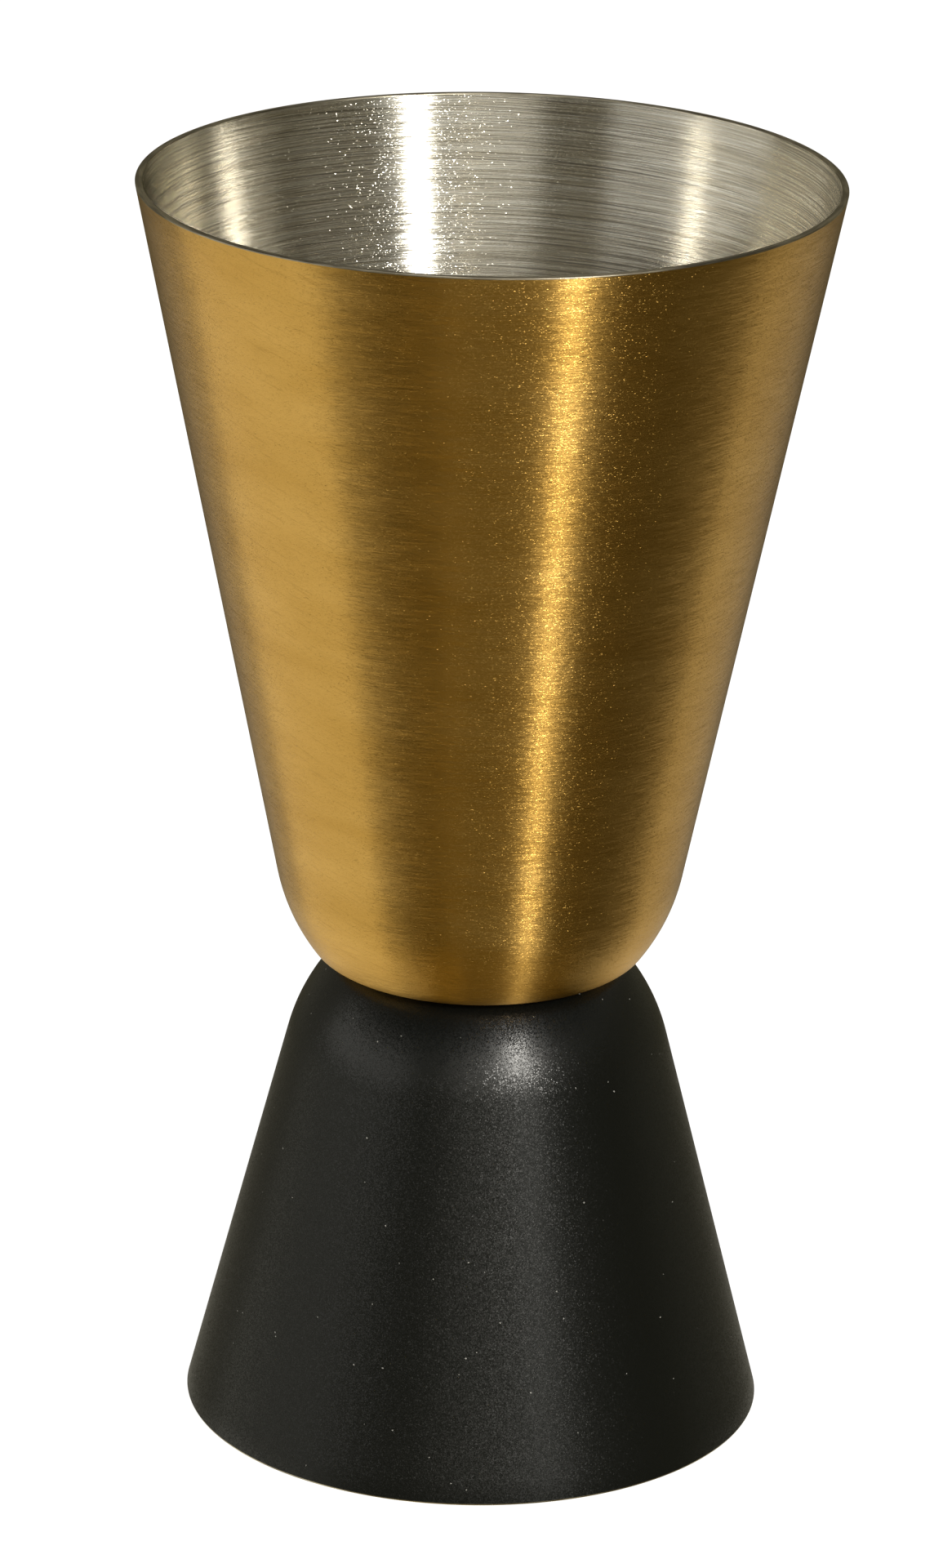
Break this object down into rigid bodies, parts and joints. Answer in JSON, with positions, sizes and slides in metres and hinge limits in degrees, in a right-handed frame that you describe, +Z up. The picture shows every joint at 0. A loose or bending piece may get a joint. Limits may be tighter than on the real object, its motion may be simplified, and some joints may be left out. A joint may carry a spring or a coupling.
{
  "type": "bar jigger",
  "caption": "Double-ended bar jigger: a tapered measuring cup spot-welded base to base onto a smaller inverted cup, on whose rim it stands.",
  "frame": {"origin": "centre of the small cup's mouth, in the plane of the rim that the jigger stands on", "axes": "+Z up along the common axis of both cups, from the small cup's mouth to the large cup's mouth; +X through one of the three welds"},
  "size_m": [0.045, 0.045, 0.083],
  "materials": {
    "gold_steel": "gold-coloured coat over circumferentially brushed stainless outside, bare brushed stainless inside and on the lip",
    "black_coated_steel": "matte fine-textured black powder coat outside, bare brushed stainless inside and on the lip",
    "bare_steel": "bare stainless, fused"
  },
  "bodies": {
    "root": {"large_cup": "gold_steel", "small_cup": "black_coated_steel", "weld_nuggets": "bare_steel"}
  },
  "joints": []
}
